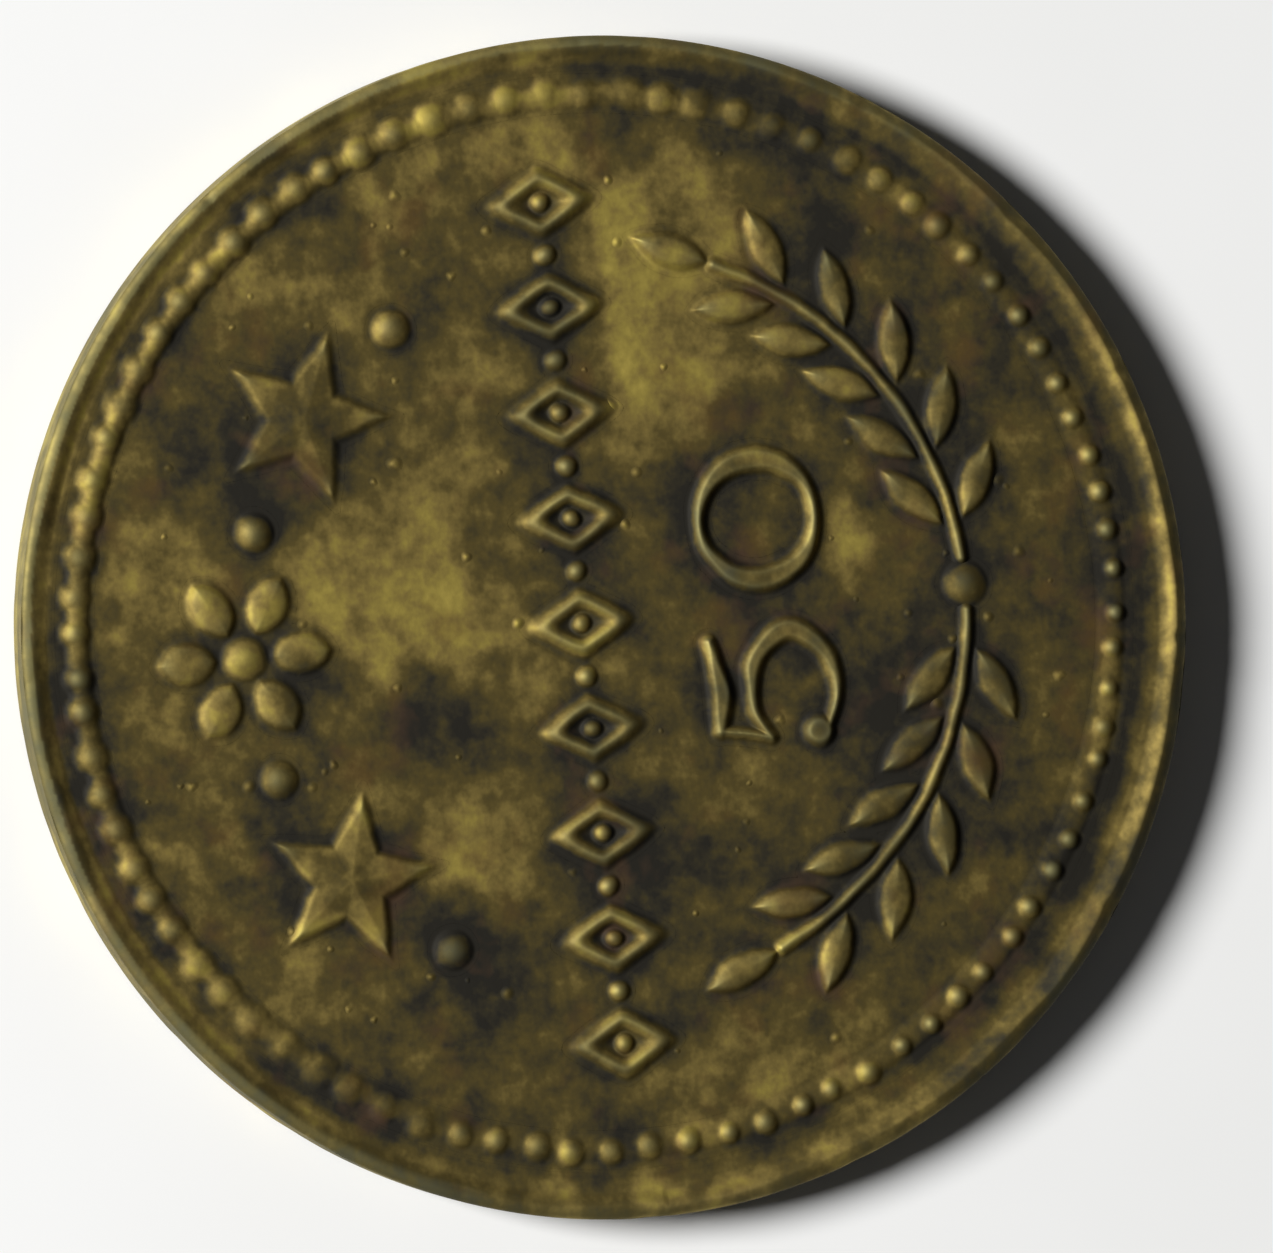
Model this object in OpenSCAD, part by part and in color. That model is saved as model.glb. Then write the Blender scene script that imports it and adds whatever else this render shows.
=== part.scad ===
// Struck brass token: a round flan with a raised rim on both faces. The obverse has a bead circle and
// ornaments struck from punches, the reverse a bead circle round a plain field.
// Millimetres. +Z points out of the obverse and +Y to the top of its design.
// The origin is the centre of the plane that the reverse rim rests on.

/* [Flan] */
// Diameter of the token
token_d = 24; // [22:0.5:32]
// Thickness of the metal between the two fields
core_t = 1.1; // [0.6:0.1:2.4]

/* [Rim] */
// Height of the rim above the field
rim_h = 0.2; // [0.18:0.01:0.4]
// Width of the flat land on top of the rim, where the dies sit in the middle
rim_land_w = 0.42; // [0.34:0.02:0.9]
// Run of the slope from the land down to the field
rim_slope_w = 0.2; // [0.1:0.05:0.6]
// Radius of the worn outer corner
rim_corner_r = 0.08; // [0.02:0.01:0.16]

/* [Strike] */
// How far the dies sat off the middle of the flan
strike_off = 0.24; // [0:0.02:0.3]
// Direction of that shift, from +X towards +Y
strike_angle = 55; // [0:5:355]

/* [Bead circle] */
// Diameter of one bead at the field
bead_d = 0.64; // [0.4:0.02:0.9]
// Height of a bead above the field
bead_h = 0.15; // [0.08:0.01:0.18]
// Gap between neighbouring beads
bead_space = 0.16; // [0.06:0.02:0.6]
// Width of the groove between the beads and the foot of the rim
groove_w = 0.27; // [0.06:0.01:0.6]

/* [Ornament relief] */
// Height of the ornaments above the field
relief_h = 0.17; // [0.08:0.01:0.18]
// Gap between the bead circle and the ornaments next to it
border_gap = 1.3; // [0.6:0.1:2]

/* [Stars and rosette] */
// Diameter over the points of a star, and over the petals of the rosette
star_d = 3.6; // [3:0.1:4.2]
// Diameter through the inner corners of a star
star_waist_d = 1.7; // [1:0.1:2]
// Points on a star
star_points = 5; // [4:1:8]
// Petals on the rosette
petal_count = 6; // [4:1:7]
// Widest part of a petal
petal_w = 0.9; // [0.5:0.02:0.96]
// Diameter of the rosette's middle pellet
rosette_eye_d = 0.9; // [0.6:0.05:1.1]
// Diameter of the pellets between the stars and the rosette
stop_d = 0.78; // [0.4:0.02:1]
// Gap beside each of these pellets
stop_gap = 0.3; // [0.1:0.02:0.8]

/* [Lozenge band] */
// Height of the band's centreline above the middle of the design
band_y = 0.35; // [-0.5:0.05:1]
// Length of a lozenge across the band
lozenge_h = 2.6; // [1.8:0.1:2.8]
// Width of a lozenge along the band
lozenge_w = 1.5; // [1.2:0.1:2]
// Width of a lozenge's raised line, measured along the band
lozenge_line_w = 0.44; // [0.3:0.02:0.5]
// Slope of the lines' sides, as the run from the field to the top
line_draft = 0.08; // [0.02:0.01:0.1]
// Diameter of the pellets inside and between the lozenges
band_pellet_d = 0.4; // [0.2:0.02:0.44]
// Gap between a lozenge and the pellet beside it
band_gap = 0.12; // [0.06:0.02:0.4]
// Gap between the ends of the band and the bead circle
band_end_gap = 0.5; // [0.2:0.1:2]

/* [Laurel sprays] */
// Length of a leaf
leaf_l = 1.7; // [1.2:0.1:2]
// Widest part of a leaf
leaf_w = 0.72; // [0.4:0.02:0.8]
// Angle between a leaf and the stem
leaf_lean = 34; // [25:1:45]
// Least gap between neighbouring leaves
leaf_gap = 0.12; // [0.06:0.02:0.4]
// Width of the stem
stem_w = 0.26; // [0.16:0.02:0.5]
// Gap between the stem and the foot of each leaf
stem_gap = 0.08; // [0.05:0.01:0.2]
// Diameter of the pellet where the two sprays meet
knot_d = 0.9; // [0.5:0.05:1.2]
// Least gap between the sprays and the lozenge band
spray_end_gap = 0.3; // [0.1:0.1:2]

/* [Hidden] */
$fn = 64;

field_brass = [0.42, 0.35, 0.16];
worn_brass = [0.60, 0.52, 0.26];

token_r = token_d / 2;
reverse_field_z = rim_h;
obverse_field_z = rim_h + core_t;
rim_land_inner_r = token_r - rim_corner_r - rim_land_w;
rim_foot_r = rim_land_inner_r - rim_slope_w;
strike_shift = strike_off * [cos(strike_angle), sin(strike_angle)];

bead_circle_r = rim_foot_r - groove_w - bead_d / 2;
bead_count = floor(2 * PI * bead_circle_r / (bead_d + bead_space));
border_r = bead_circle_r - bead_d / 2;

star_circle_r = border_r - border_gap - star_d / 2;
star_step = 2 * asin((star_d + stop_d + 2 * stop_gap) / (2 * star_circle_r));
petal_l = (star_d - rosette_eye_d) / 2 - stem_gap;
stop_least_y = band_y + lozenge_h / 2 + stop_gap + stop_d / 2;
last_stop = floor(acos(stop_least_y / star_circle_r) / star_step + 0.5) - 0.5;

lozenge_inner_share = (lozenge_w - 2 * lozenge_line_w) / lozenge_w;
band_pitch = lozenge_w + band_pellet_d + 2 * band_gap;
band_edge_y = max(abs(band_y + lozenge_h / 2), abs(band_y - lozenge_h / 2));
band_half_l = sqrt(pow(border_r - band_end_gap, 2) - pow(band_edge_y, 2));
lozenges_each_side = floor((band_half_l - lozenge_w / 2) / band_pitch);

leaf_reach = stem_w / 2 + stem_gap + leaf_l * sin(leaf_lean) + leaf_w / 2 * cos(leaf_lean);
stem_r = border_r - border_gap - leaf_reach;
leaf_pitch = (leaf_w + leaf_gap) / sin(leaf_lean);
leaf_step = leaf_pitch / stem_r * 180 / PI;
stem_start = (knot_d / 2 + stem_gap) / stem_r * 180 / PI;
end_leaf_angle = atan((stem_gap + leaf_l) / stem_r);
end_leaf_r = norm([stem_r, stem_gap + leaf_l]);
end_leaf_drop = lozenge_h / 2 + spray_end_gap - band_y;
stem_most = acos(end_leaf_drop / end_leaf_r) - end_leaf_angle;
leaf_pairs = floor((stem_most - stem_start) / leaf_step - 0.5);
stem_end = stem_start + (leaf_pairs + 0.5) * leaf_step;

// Radius of a sphere that shows as a cap of diameter d and height h
function cap_sphere_r(d, h) = (d * d / 4 + h * h) / (2 * h);

// Puts a die's design on the obverse field
module on_obverse() {
    translate([strike_shift[0], strike_shift[1], obverse_field_z]) children();
}

// Puts a die's design on the reverse field, face down
module on_reverse() {
    translate([strike_shift[0], strike_shift[1], reverse_field_z]) mirror([0, 0, 1]) children();
}

// Round raised dot with a domed top
module pellet(d, h) {
    sphere_r = cap_sphere_r(d, h);
    intersection() {
        translate([0, 0, h - sphere_r]) sphere(sphere_r);
        translate([-d, -d, 0]) cube([2 * d, 2 * d, 2 * h]);
    }
}

// Leaf along +Y from the origin: two spheres meet in a ridge that falls to a point at both ends
module leaf(l, w, h) {
    ridge_r = cap_sphere_r(l, h);
    side_sum = (l * l / 4) / (w / 2);
    side_shift = (side_sum - w / 2) / 2;
    side_r = sqrt(side_shift * side_shift + ridge_r * ridge_r);
    translate([0, l / 2, 0]) intersection() {
        translate([-side_shift, 0, h - ridge_r]) rotate(180) sphere(side_r, $fn = 180);
        translate([side_shift, 0, h - ridge_r]) sphere(side_r, $fn = 180);
        translate([-l, -l, 0]) cube([2 * l, 2 * l, 2 * h]);
    }
}

// Round disc that carries everything else
module flan() {
    color(field_brass) translate([0, 0, reverse_field_z]) cylinder(h = core_t, r = token_r);
}

// Half-section of the upset edge: flat top and rounded outer corner
module edge_section() {
    corner_x = token_r - rim_corner_r;
    corner_y = rim_h - rim_corner_r;
    polygon([[0, 0], [token_r, 0], [token_r, corner_y], [corner_x, corner_y], [corner_x, rim_h],
             [0, rim_h]]);
    translate([corner_x, corner_y]) intersection() {
        circle(rim_corner_r);
        square(rim_corner_r);
    }
}

// Table of the die, whose sloped side shapes the inside of the rim, drawn past the rim at both ends
module die_table() {
    translate([strike_shift[0], strike_shift[1], -rim_h])
        cylinder(h = 3 * rim_h, r1 = rim_foot_r - rim_slope_w, r2 = rim_land_inner_r + rim_slope_w);
}

// Raised lip round the edge of one face, narrowest on the side that the die shifted to
module rim() {
    difference() {
        rotate_extrude() edge_section();
        die_table();
    }
}

module obverse_rim() {
    color(worn_brass) translate([0, 0, obverse_field_z]) rim();
}

module reverse_rim() {
    color(worn_brass) translate([0, 0, reverse_field_z]) mirror([0, 0, 1]) rim();
}

// Ring of beads inside the rim
module bead_circle() {
    for (i = [0 : bead_count - 1])
        rotate(i * 360 / bead_count) translate([bead_circle_r, 0, 0]) pellet(bead_d, bead_h);
}

module obverse_beads() {
    color(worn_brass) on_obverse() bead_circle();
}

module reverse_beads() {
    color(worn_brass) on_reverse() bead_circle();
}

// Ornament on the circle of the stars, so many steps to the right of the top
module at_star_step(steps) {
    rotate(-steps * star_step) translate([0, star_circle_r, 0]) children();
}

// Star with a ridge from every point up to its middle
module star() {
    corners = 2 * star_points;
    outline = [for (i = [0 : corners - 1])
        (i % 2 == 0 ? star_d : star_waist_d) / 2 * [sin(i * 360 / corners), cos(i * 360 / corners), 0]];
    base = [for (i = [corners - 1 : -1 : 0]) i];
    facets = [for (i = [0 : corners - 1]) [corners, i, (i + 1) % corners]];
    polyhedron(points = concat(outline, [[0, 0, relief_h]]), faces = concat([base], facets));
}

module left_star() {
    color(worn_brass) on_obverse() at_star_step(-1) star();
}

module right_star() {
    color(worn_brass) on_obverse() at_star_step(1) star();
}

// Petals round a middle pellet
module top_rosette() {
    color(worn_brass) on_obverse() at_star_step(0) {
        pellet(rosette_eye_d, relief_h);
        for (i = [0 : petal_count - 1])
            rotate(i * 360 / petal_count) translate([0, star_d / 2 - petal_l, 0])
                leaf(petal_l, petal_w, relief_h);
    }
}

// Pellets beside the stars, and the one where the sprays meet
module stop_pellets() {
    color(worn_brass) on_obverse() {
        for (steps = [-last_stop : 1 : last_stop]) at_star_step(steps) pellet(stop_d, relief_h);
        translate([0, -stem_r, 0]) pellet(knot_d, relief_h);
    }
}

// Solid lozenge of the given share of the full outline, whose width changes by spread on its way up
module lozenge_prism(share, spread) {
    w = lozenge_w * share;
    h = lozenge_h * share;
    linear_extrude(height = relief_h, scale = (w + spread) / w)
        polygon([[-w / 2, 0], [0, -h / 2], [w / 2, 0], [0, h / 2]]);
}

// Lozenge drawn in one raised line with sloped sides
module lozenge() {
    difference() {
        lozenge_prism(1, -2 * line_draft);
        lozenge_prism(lozenge_inner_share, 2 * line_draft);
    }
}

// Row of lozenges across the middle, with a pellet in each and between each two
module lozenge_band() {
    color(worn_brass) on_obverse() translate([0, band_y, 0])
        for (i = [-lozenges_each_side : lozenges_each_side]) translate([i * band_pitch, 0, 0]) {
            lozenge();
            pellet(band_pellet_d, relief_h);
            if (i < lozenges_each_side)
                translate([band_pitch / 2, 0, 0]) pellet(band_pellet_d, relief_h);
        }
}

// Place on the stem, the given angle from the bottom of the design, with +Y along the stem
module on_stem(angle) {
    rotate(angle - 90) translate([stem_r, 0, 0]) children();
}

// Spray that grows to the right: a curved stem, leaves in pairs and one at its end
module spray() {
    rotate(stem_start - 90) rotate_extrude(angle = stem_end - stem_start)
        translate([stem_r, 0]) polygon([[-stem_w / 2, 0], [stem_w / 2, 0],
            [stem_w / 2 - line_draft, relief_h], [line_draft - stem_w / 2, relief_h]]);
    for (i = [0 : leaf_pairs - 1], side = [-1, 1])
        on_stem(stem_start + (i + 0.5) * leaf_step) translate([side * (stem_w / 2 + stem_gap), 0, 0])
            rotate(-side * leaf_lean) leaf(leaf_l, leaf_w, relief_h);
    on_stem(stem_end) translate([0, stem_gap, 0]) leaf(leaf_l, leaf_w, relief_h);
}

module right_spray() {
    color(worn_brass) on_obverse() spray();
}

module left_spray() {
    color(worn_brass) on_obverse() mirror([1, 0, 0]) spray();
}

flan();
obverse_rim();
reverse_rim();
obverse_beads();
reverse_beads();
left_star();
top_rosette();
right_star();
stop_pellets();
lozenge_band();
left_spray();
right_spray();
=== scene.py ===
# A worn brass token, struck in low relief on both faces, lying face up on white paper.
# Shapes are worked out in millimetres in the CAD frame: +Z out of the obverse, +Y to the top of its design.

import math

import bpy
import numpy as np
from mathutils import Matrix


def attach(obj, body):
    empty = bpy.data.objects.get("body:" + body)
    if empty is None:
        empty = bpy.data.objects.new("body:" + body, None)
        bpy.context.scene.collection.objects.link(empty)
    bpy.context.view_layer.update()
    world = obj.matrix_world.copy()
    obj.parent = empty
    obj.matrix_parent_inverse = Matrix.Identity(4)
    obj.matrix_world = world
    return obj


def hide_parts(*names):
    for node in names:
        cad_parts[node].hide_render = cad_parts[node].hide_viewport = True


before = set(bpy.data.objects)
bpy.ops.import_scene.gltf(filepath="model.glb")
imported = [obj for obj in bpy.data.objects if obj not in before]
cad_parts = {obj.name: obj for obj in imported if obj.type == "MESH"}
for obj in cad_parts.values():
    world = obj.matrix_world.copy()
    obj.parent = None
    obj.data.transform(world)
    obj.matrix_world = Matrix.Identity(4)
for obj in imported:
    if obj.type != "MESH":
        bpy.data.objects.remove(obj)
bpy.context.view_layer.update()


# Paper: the plain white sheet that the token lies on.
# Wood-free office paper, matt, with a faint unevenness in its tone.

MM = 0.001
CREASE = math.radians(65)
PAPER_HALF_W = 1500.0
PAPER_WHITE = "#f6f6f5"
PAPER_SHADE = "#eeeeec"
PAPER_CLOUD = 9.0
PAPER_ROUGH, PAPER_SHEEN = 0.9, 0.1


def linear(hex_colour):
    """Linear RGBA of an sRGB hex colour: a straight line below 0.04045 and a power of 2.4 above it."""
    channel = np.array([int(hex_colour[i:i + 2], 16) for i in (1, 3, 5)]) / 255
    return (*np.where(channel <= 0.04045, channel / 12.92, ((channel + 0.055) / 1.055) ** 2.4), 1.0)


def add_node(tree, kind, inputs=None, **settings):
    """Adds a node, sets its properties, and fills each named input with a value or a link."""
    node = tree.nodes.new(kind)
    for name, value in settings.items():
        setattr(node, name, value)
    for name, value in (inputs or {}).items():
        if isinstance(value, bpy.types.NodeSocket):
            tree.links.new(value, node.inputs[name])
        else:
            node.inputs[name].default_value = value
    return node


def new_material(name):
    """Empty node material and its tree."""
    material = bpy.data.materials.new(name)
    material.use_nodes = True
    material.node_tree.nodes.clear()
    return material, material.node_tree


def new_piece(name, points, faces, material):
    """Mesh object at the origin from points in millimetres and a list of face arrays.

    It is shaded smooth, except where two faces turn by more than a crease."""
    mesh = bpy.data.meshes.new(name)
    mesh.from_pydata(points * MM, [], [face for block in faces for face in block.tolist()])
    mesh.materials.append(material)
    mesh.shade_smooth()
    mesh.set_sharp_from_angle(angle=CREASE)
    piece = bpy.data.objects.new(name, mesh)
    bpy.context.scene.collection.objects.link(piece)
    return piece


paper, tree = new_material("office_paper_matt")
place = add_node(tree, "ShaderNodeTexCoord").outputs["Object"]
cloud = add_node(tree, "ShaderNodeTexNoise", {"Vector": place, "Scale": 1 / (PAPER_CLOUD * MM),
                                              "Detail": 3.0})
tone = add_node(tree, "ShaderNodeMix", {"Factor": cloud.outputs["Fac"], "A": linear(PAPER_WHITE),
                                        "B": linear(PAPER_SHADE)}, data_type="RGBA")
sheet = add_node(tree, "ShaderNodeBsdfPrincipled", {"Base Color": tone.outputs["Result"],
                                                    "Roughness": PAPER_ROUGH,
                                                    "Specular IOR Level": PAPER_SHEEN})
add_node(tree, "ShaderNodeOutputMaterial", {"Surface": sheet.outputs["BSDF"]})

corners = PAPER_HALF_W * np.array([[-1, -1, 0], [1, -1, 0], [1, 1, 0], [-1, 1, 0]])
new_piece("paper_sheet", corners, [np.array([[0, 1, 2, 3]])], paper)


# Flan: the disc of rolled brass that both dies struck, with its plain edge.
# Both fields are a little uneven, as flattened stock is, and the edge keeps small dents from handling.
# A swell is a height and a length in mm, a dent a share of the depth and a length.

TOKEN_R = 12.0
REVERSE_Z = 0.2
OBVERSE_Z = 1.3
OBVERSE_SEED, REVERSE_SEED = 11, 21
SWELLS = ((0.006, 3.1), (0.0035, 0.9), (0.0015, 0.45))
DENTS = ((0.6, 1.3), (0.4, 0.5))
DENT_DEEP = 0.035
DENT_STRETCH = 0.7
DENT_SEED = 41
FLAN_CELLS = 200
EDGE_ROWS = 13
LATTICE = 64
LATTICE_SHIFT = (0.37, 0.71)


def smoothstep(t):
    """S-curve from 0 to 1: three times the square less twice the cube."""
    return t * t * (3 - 2 * t)


def lattice_noise(x, y, cell, seed):
    """Smooth noise from -1 to 1: random values on a square lattice with that cell, blended by smoothsteps."""
    lattice = np.random.default_rng(seed).uniform(-1, 1, (LATTICE, LATTICE))
    u, v = x / cell + LATTICE_SHIFT[0], y / cell + LATTICE_SHIFT[1]
    i, j = np.floor(u).astype(int), np.floor(v).astype(int)
    s, t = smoothstep(u - i), smoothstep(v - j)
    i, next_i = i % LATTICE, (i + 1) % LATTICE
    j, next_j = j % LATTICE, (j + 1) % LATTICE
    near = lattice[i, j] * (1 - s) + lattice[next_i, j] * s
    far = lattice[i, next_j] * (1 - s) + lattice[next_i, next_j] * s
    return near * (1 - t) + far * t


def field_swell(x, y, seed):
    """Unevenness of a field in mm: noises of three lengths, each times its height."""
    return sum(height * lattice_noise(x, y, length, seed + k) for k, (height, length) in enumerate(SWELLS))


def edge_radius(angle, z):
    """Radius of the edge: the token's own, less dents where a noise round it and up it is above zero.

    The noise is squared, so that a dent begins without a crease."""
    around, upward = angle * TOKEN_R, z * DENT_STRETCH
    dent = sum(share * lattice_noise(around, upward, length, DENT_SEED + k)
               for k, (share, length) in enumerate(DENTS))
    return TOKEN_R - DENT_DEEP * np.clip(dent, 0, 1) ** 2


def disc_grid(cells):
    """Square grid drawn out into a unit disc: each square ring of cells becomes a circle."""
    a, b = np.meshgrid(np.linspace(-1, 1, cells + 1), np.linspace(-1, 1, cells + 1), indexing="ij")
    wide = np.abs(a) >= np.abs(b)
    r = np.where(wide, a, b)
    safe = np.where(r == 0, 1, r)
    angle = np.where(wide, math.pi / 4 * b / safe, math.pi / 2 - math.pi / 4 * a / safe)
    return r * np.cos(angle), r * np.sin(angle)


def grid_faces(index):
    """Four-cornered faces between the rows and columns of an array of point numbers."""
    return np.stack([index[:-1, :-1], index[1:, :-1], index[1:, 1:], index[:-1, 1:]], -1).reshape(-1, 4)


def flan_surface():
    """Obverse disc, rows down the edge and reverse disc, sewn together along the rim of the disc grid."""
    disc_x, disc_y = disc_grid(FLAN_CELLS)
    number = np.arange(disc_x.size).reshape(disc_x.shape)
    ring = np.concatenate([number[:-1, 0], number[-1, :-1], number[:0:-1, -1], number[0, :0:-1]])
    angle = np.arctan2(disc_y.ravel()[ring], disc_x.ravel()[ring])
    x, y = TOKEN_R * disc_x, TOKEN_R * disc_y
    obverse = np.stack([x, y, OBVERSE_Z + field_swell(x, y, OBVERSE_SEED)], -1).reshape(-1, 3)
    reverse = np.stack([x, y, REVERSE_Z - field_swell(x, y, REVERSE_SEED)], -1).reshape(-1, 3)
    heights = np.linspace(OBVERSE_Z, REVERSE_Z, EDGE_ROWS)[:, None]
    radius = edge_radius(angle, heights)
    edge = np.stack([radius * np.cos(angle), radius * np.sin(angle), heights + 0 * radius], -1)
    obverse[ring], reverse[ring] = edge[0], edge[-1]
    middle = edge[1:-1].reshape(-1, 3)
    rows = 2 * number.size + np.arange(len(middle)).reshape(EDGE_ROWS - 2, len(ring))
    rows = np.vstack([ring, rows, number.size + ring])
    rows = np.hstack([rows, rows[:, :1]])
    faces = [grid_faces(number), number.size + grid_faces(number)[:, ::-1], grid_faces(rows)]
    return np.vstack([obverse, reverse, middle]), faces


# Brass, struck and long handled: copper with a third of zinc, dulled to olive by a thin oxide.
# Rubbed places show warm yellow metal, and a pale tint there is partly wear and partly a painted highlight;
# hollows keep a matt brown-black film that hardly mirrors.
# A mottle is a size in mm, its film and its detail; the grain is drawn as coarse as it needs to show.

BRASS_TONES = ((-0.25, "#c2b05c"), (0.0, "#ad9c51"), (0.22, "#94824a"), (0.45, "#716339"), (0.68, "#51482b"),
               (0.85, "#373222"), (1.0, "#211e15"))
BRASS_PALE_RUB_AND_HIGHLIGHT, PALE_RUB_AND_HIGHLIGHT_MOST = "#a8a472", 0.75
BRASS_BROWN, BROWN_MOST, BROWN_MM = "#6f4f32", 0.35, 1.3
BROWN_FROM, BROWN_TO = 0.56, 0.72
MOTTLES = {"stain": (1.0, 0.25, 2.5), "speck": (0.4, 0.14, 2.0), "grain": (0.15, 0.05, 2.0)}
MOTTLE_LOW, MOTTLE_HIGH = 0.3, 0.7
MOTTLE_ROUGH = 0.55
NOISE_FROM = (0.0413, 0.0291, 0.0173)
GRAIN_DEEP, GRAIN_STRONG = 0.005, 0.4
SPECK_DEEP, SPECK_STRONG = 0.02, 0.3
BARE_ROUGH, FILM_ROUGH, RUB_SMOOTHS = 0.71, 0.77, 0.06
DULL_FROM, FILM_METALLIC = 0.5, 0.5


def aged_brass():
    """One brass for every piece, read in Object coordinates so that stains run on from piece to piece.

    The film on each point, made uneven by three noises, picks a tone from a ramp; brown spots are mixed in,
    and a pale colour on rubbed places that is partly worn metal and partly a painted highlight. Noises are
    read some way from the origin, where their octaves would line up into streaks."""
    material, tree = new_material("struck_brass_tarnished")
    place = add_node(tree, "ShaderNodeTexCoord").outputs["Object"]
    place = add_node(tree, "ShaderNodeVectorMath", {0: place, 1: NOISE_FROM}).outputs["Vector"]
    film_and_painted_light = add_node(tree, "ShaderNodeAttribute", attribute_name="film_and_painted_light").outputs["Fac"]
    rub_and_highlight = add_node(tree, "ShaderNodeAttribute", attribute_name="rub_and_highlight").outputs["Fac"]

    mottle = {}
    for name, (size_mm, depth, detail) in MOTTLES.items():
        noise = add_node(tree, "ShaderNodeTexNoise", {"Vector": place, "Scale": 1 / (size_mm * MM),
                                                      "Detail": detail, "Roughness": MOTTLE_ROUGH})
        mottle[name] = noise.outputs["Fac"]
        swing = add_node(tree, "ShaderNodeMapRange", {"Value": mottle[name], "From Min": MOTTLE_LOW,
                                                      "From Max": MOTTLE_HIGH, "To Min": -depth,
                                                      "To Max": depth})
        film_and_painted_light = add_node(tree, "ShaderNodeMath", {0: film_and_painted_light, 1: swing.outputs["Result"]}).outputs["Value"]

    first, last = BRASS_TONES[0][0], BRASS_TONES[-1][0]
    along = add_node(tree, "ShaderNodeMapRange", {"Value": film_and_painted_light, "From Min": first, "From Max": last})
    tones = add_node(tree, "ShaderNodeValToRGB", {"Fac": along.outputs["Result"]})
    for level, _ in BRASS_TONES[1:-1]:
        tones.color_ramp.elements.new((level - first) / (last - first))
    for stop, (level, colour) in zip(tones.color_ramp.elements, BRASS_TONES):
        stop.position, stop.color = (level - first) / (last - first), linear(colour)

    spots = add_node(tree, "ShaderNodeTexNoise", {"Vector": place, "Scale": 1 / (BROWN_MM * MM),
                                                  "Detail": 3.0, "Roughness": MOTTLE_ROUGH})
    spots = add_node(tree, "ShaderNodeMapRange", {"Value": spots.outputs["Fac"], "From Min": BROWN_FROM,
                                                  "From Max": BROWN_TO, "To Max": BROWN_MOST})
    metal = add_node(tree, "ShaderNodeMix", {"Factor": spots.outputs["Result"], "A": tones.outputs["Color"],
                                             "B": linear(BRASS_BROWN)}, data_type="RGBA")
    # Painted highlight: the pale colour on rubbed places also stands in for the paler sheen of lit edges.
    pale_rub_and_highlight = add_node(tree, "ShaderNodeMapRange", {"Value": rub_and_highlight, "To Max": PALE_RUB_AND_HIGHLIGHT_MOST})
    metal = add_node(tree, "ShaderNodeMix", {"Factor": pale_rub_and_highlight.outputs["Result"], "A": metal.outputs["Result"],
                                             "B": linear(BRASS_PALE_RUB_AND_HIGHLIGHT)}, data_type="RGBA")
    mirror = add_node(tree, "ShaderNodeMapRange", {"Value": film_and_painted_light, "From Min": DULL_FROM, "To Min": 1.0,
                                                   "To Max": FILM_METALLIC})
    dull = add_node(tree, "ShaderNodeMapRange", {"Value": film_and_painted_light, "To Min": BARE_ROUGH, "To Max": FILM_ROUGH})
    polish = add_node(tree, "ShaderNodeMapRange", {"Value": rub_and_highlight, "To Max": -RUB_SMOOTHS})
    rough = add_node(tree, "ShaderNodeMath", {0: dull.outputs["Result"], 1: polish.outputs["Result"]})
    ridge = add_node(tree, "ShaderNodeBump", {"Height": mottle["grain"], "Strength": GRAIN_STRONG,
                                              "Distance": GRAIN_DEEP * MM})
    ridge = add_node(tree, "ShaderNodeBump", {"Height": mottle["speck"], "Strength": SPECK_STRONG,
                                              "Distance": SPECK_DEEP * MM, "Normal": ridge.outputs["Normal"]})
    brass = add_node(tree, "ShaderNodeBsdfPrincipled", {
        "Base Color": metal.outputs["Result"], "Metallic": mirror.outputs["Result"],
        "Roughness": rough.outputs["Value"], "Normal": ridge.outputs["Normal"]})
    add_node(tree, "ShaderNodeOutputMaterial", {"Surface": brass.outputs["BSDF"]})
    return material


brass = aged_brass()
token_pieces = []


def struck(piece, slot, *nodes):
    """Lists a piece for the ageing at the end, gives it its body and hides its CAD nodes. The slot is not
    used.
    """
    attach(piece, "root")
    if nodes:
        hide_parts(*nodes)
    token_pieces.append(piece)


struck(new_piece("flan_disc", *flan_surface(), brass), "field_brass", "flan")


# Rims: the lip that the dies raised round both faces, of the same brass.
# The die sat off the middle, so the lip is narrow at the top of the design; its outer corner is worn round.
# A face is the level of its field, the way that its relief stands, and the seed of its swells.

OBVERSE = (OBVERSE_Z, 1, OBVERSE_SEED)
REVERSE = (REVERSE_Z, -1, REVERSE_SEED)
OBVERSE_RIM_SEED, REVERSE_RIM_SEED = 51, 61
RIM_H = 0.2
RIM_FOOT_R = 11.25
DIE_X, DIE_Y = 0.138, 0.197
DIE_SIDE = math.atan2(DIE_Y, DIE_X)
BOTTOM_SIDE = math.radians(-90)
RIM_STEPS = 1400
ROLL_STEPS = 12
SLOPE_STEPS = 22
RIM_ROLL = 0.26
ROLL_POWER, BEVEL_MORE = 0.95, 0.6
RIM_DISH = 0.3
NARROW_LOWER, NARROW_ROLL_LESS = 0.4, 0.35
CREST_WAVE, CREST_WAVE_L = 0.01, 2.2
ROLL_WAVE, ROLL_WAVE_L = 0.25, 1.7
NICKS = 26
NICK_W = (0.008, 0.035)
NICK_D = (0.01, 0.04)
NICK_LOWERS, NICK_CUTS_IN = 0.7, 0.5
SKIN_LIFT = 0.0006
SKIN_ROOT = 0.05
SKIRT_W = (0.04, 0.08, 0.11, 0.11)
SKIRT_H = (0.0004, 0.0, -SKIN_LIFT, -SKIN_ROOT)
ROOT_IN = 0.25
EDGE_LEVEL, EDGE_FADE = 0.15, 0.3


def ring_solid(loop):
    """Faces of a closed section carried round a closed circle: loop[angle, corner] holds the points."""
    number = np.arange(loop.shape[0] * loop.shape[1]).reshape(loop.shape[:2])
    number = np.pad(number, ((0, 1), (0, 1)), mode="wrap")
    return loop.reshape(-1, 3), [grid_faces(number)]


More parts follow.
